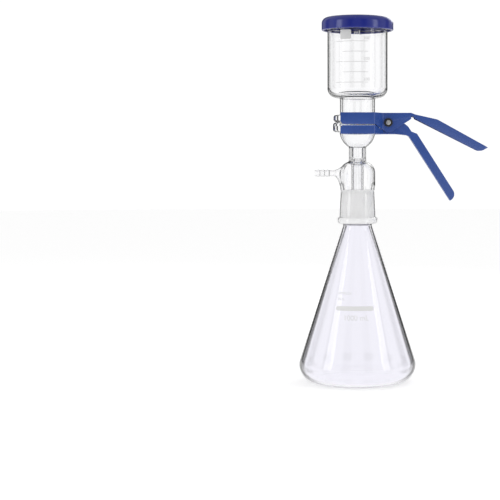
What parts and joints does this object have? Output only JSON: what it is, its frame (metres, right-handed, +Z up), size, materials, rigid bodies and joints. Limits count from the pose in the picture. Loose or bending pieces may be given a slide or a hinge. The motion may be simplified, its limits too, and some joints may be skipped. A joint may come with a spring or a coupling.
{
  "type": "vacuum filtration apparatus",
  "caption": "Glass vacuum filtration set: conical flask, filter base with side arm, graduated funnel, spring clamp and lid.",
  "frame": {"origin": "centre of the flask's flat foot", "axes": "+Z up along the glass axis, +X towards the clamp's handles, -X towards the side arm, Y parallel to the clamp's pivot"},
  "size_m": [0.2286, 0.1408, 0.443],
  "materials": {
    "flask_glass": "clear borosilicate, ground neck",
    "base_glass": "clear borosilicate, frosted ground socket",
    "funnel_glass": "clear borosilicate, white enamel scale",
    "sintered_glass": "white sintered",
    "filter_paper": "matt white membrane",
    "lid_plastic": "deep blue, glossy",
    "blue_paint": "blue coating, satin gloss",
    "rivet_steel": "dull zinc plated",
    "spring_steel": "drawn spring wire",
    "black_plastic": "black, smooth"
  },
  "bodies": {
    "flask": {"flask": "flask_glass"},
    "filter_head": {"ground_socket": "base_glass", "bell": "base_glass", "side_arm": "base_glass", "receiver_bulb": "base_glass", "drip_tube": "base_glass", "frit_disc": "sintered_glass", "membrane_filter": "filter_paper", "funnel": "funnel_glass"},
    "lid": {"lid": "lid_plastic"},
    "clamp_pin": {"pivot_pin": "rivet_steel", "washer_front": "black_plastic", "washer_back": "black_plastic", "torsion_spring": "spring_steel"},
    "upper_jaw": {"upper_jaw": "blue_paint"},
    "lower_jaw": {"lower_jaw": "blue_paint"}
  },
  "joints": [
    {"name": "filter_head_lift", "type": "slide", "parent": "flask", "child": "filter_head", "axis": [0, 0, 1], "range_m": [0, 0.06]},
    {"name": "lid_lift", "type": "slide", "parent": "filter_head", "child": "lid", "axis": [0, 0, 1], "range_m": [0, 0.03]},
    {"name": "clamp_pull", "type": "slide", "parent": "filter_head", "child": "clamp_pin", "axis": [1, 0, 0], "range_m": [0, 0.08]},
    {"name": "upper_jaw_hinge", "type": "hinge", "parent": "clamp_pin", "child": "upper_jaw", "pos_m": [0.0372, 0, 0.3158], "axis": [0, 1, 0], "range_deg": [0, 9], "stiffness_Nm_per_rad": 0.8, "springref_deg": -34.38, "deforming": ["torsion_spring"]},
    {"name": "lower_jaw_hinge", "type": "hinge", "parent": "clamp_pin", "child": "lower_jaw", "pos_m": [0.0372, 0, 0.3158], "axis": [0, 1, 0], "range_deg": [-9, 0], "deforming": ["torsion_spring"]}
  ],
  "couplings": [
    {"joint": "lower_jaw_hinge", "follows": "upper_jaw_hinge", "ratio": -1}
  ]
}
